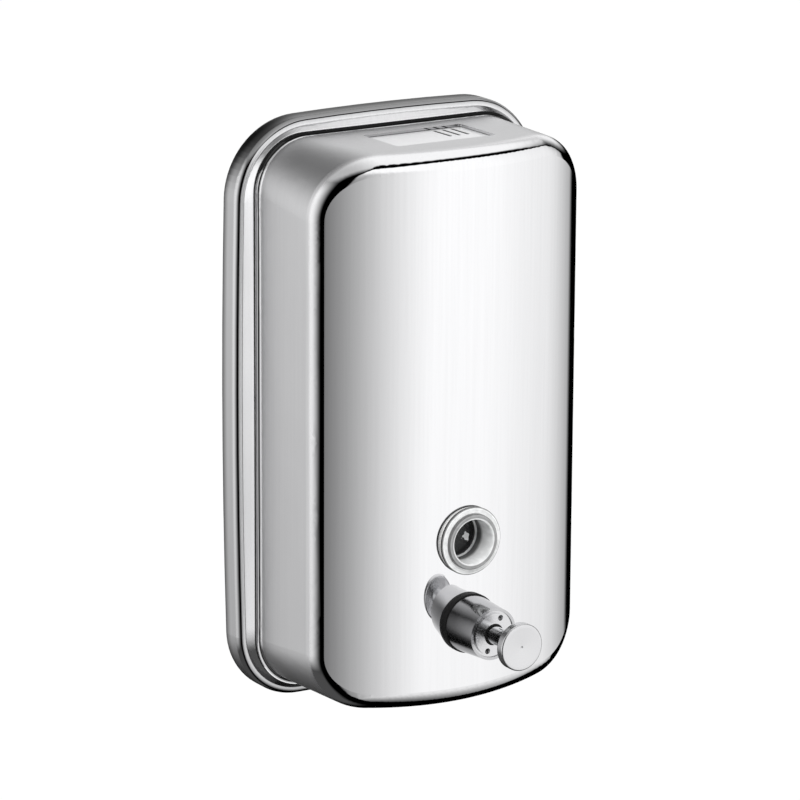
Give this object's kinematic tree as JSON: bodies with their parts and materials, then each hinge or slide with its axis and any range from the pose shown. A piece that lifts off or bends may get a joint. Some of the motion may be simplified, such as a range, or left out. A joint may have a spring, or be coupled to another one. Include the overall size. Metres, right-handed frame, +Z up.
{
  "type": "wall mounted soap dispenser",
  "caption": "Wall-hung stainless soap dispenser: bowed tank on a back pan, sliding filler lid, clear sight window and a sprung push-button piston valve.",
  "frame": {"origin": "centre of the wall bracket's screw pattern, on the wall", "axes": "+Z up, +Y into the wall, so the front faces -Y, +X to the viewer's right"},
  "size_m": [0.122, 0.0931, 0.203],
  "materials": {
    "polished_steel": "mirror polished front, satin sides",
    "satin_steel": "satin, finely brushed",
    "bright_steel": "bright rolled sheet",
    "turned_steel": "faced on a lathe",
    "mill_steel": "plain rolled sheet",
    "spring_steel": "drawn stainless",
    "chrome": "bright chrome plating",
    "clear_plastic": "clear moulded plastic",
    "white_plastic": "moulded",
    "black_rubber": "matt",
    "pale_silicone": "matt, milky"
  },
  "bodies": {
    "wall": {"wall_bracket": "mill_steel"},
    "dispenser": {"hanger_plate": "mill_steel", "back_pan": "satin_steel", "front_shell": "polished_steel", "shell_seal": "black_rubber", "lid_rail_front": "mill_steel", "lid_rail_rear": "mill_steel", "window_gasket": "pale_silicone", "window_lens": "clear_plastic", "window_washer": "pale_silicone", "window_nut": "white_plastic", "valve_gasket": "black_rubber", "valve_barrel": "chrome", "barrel_cap": "chrome", "rod_seal": "black_rubber", "outlet_valve": "black_rubber", "pump_cylinder": "white_plastic", "tank_gasket": "black_rubber", "lock_nut": "white_plastic", "inlet_cap": "white_plastic", "return_spring": "spring_steel"},
    "lid": {"filler_lid": "bright_steel"},
    "plunger": {"push_button": "turned_steel", "plunger_rod": "chrome", "piston": "white_plastic", "piston_ring": "black_rubber"},
    "ball": {"inlet_ball": "spring_steel"}
  },
  "joints": [
    {"name": "dispenser_lift", "type": "slide", "parent": "wall", "child": "dispenser", "axis": [0, 0, 1], "range_m": [0, 0.012]},
    {"name": "lid_slide", "type": "slide", "parent": "dispenser", "child": "lid", "axis": [-1, 0, 0], "range_m": [0, 0.013]},
    {"name": "plunger_press", "type": "slide", "parent": "dispenser", "child": "plunger", "axis": [0, 1, 0], "range_m": [0, 0.011], "stiffness_N_per_m": 300, "springref_m": -0.006, "deforming": ["return_spring"]},
    {"name": "ball_lift", "type": "slide", "parent": "dispenser", "child": "ball", "axis": [0, -1, 0], "range_m": [0, 0.0015]}
  ]
}
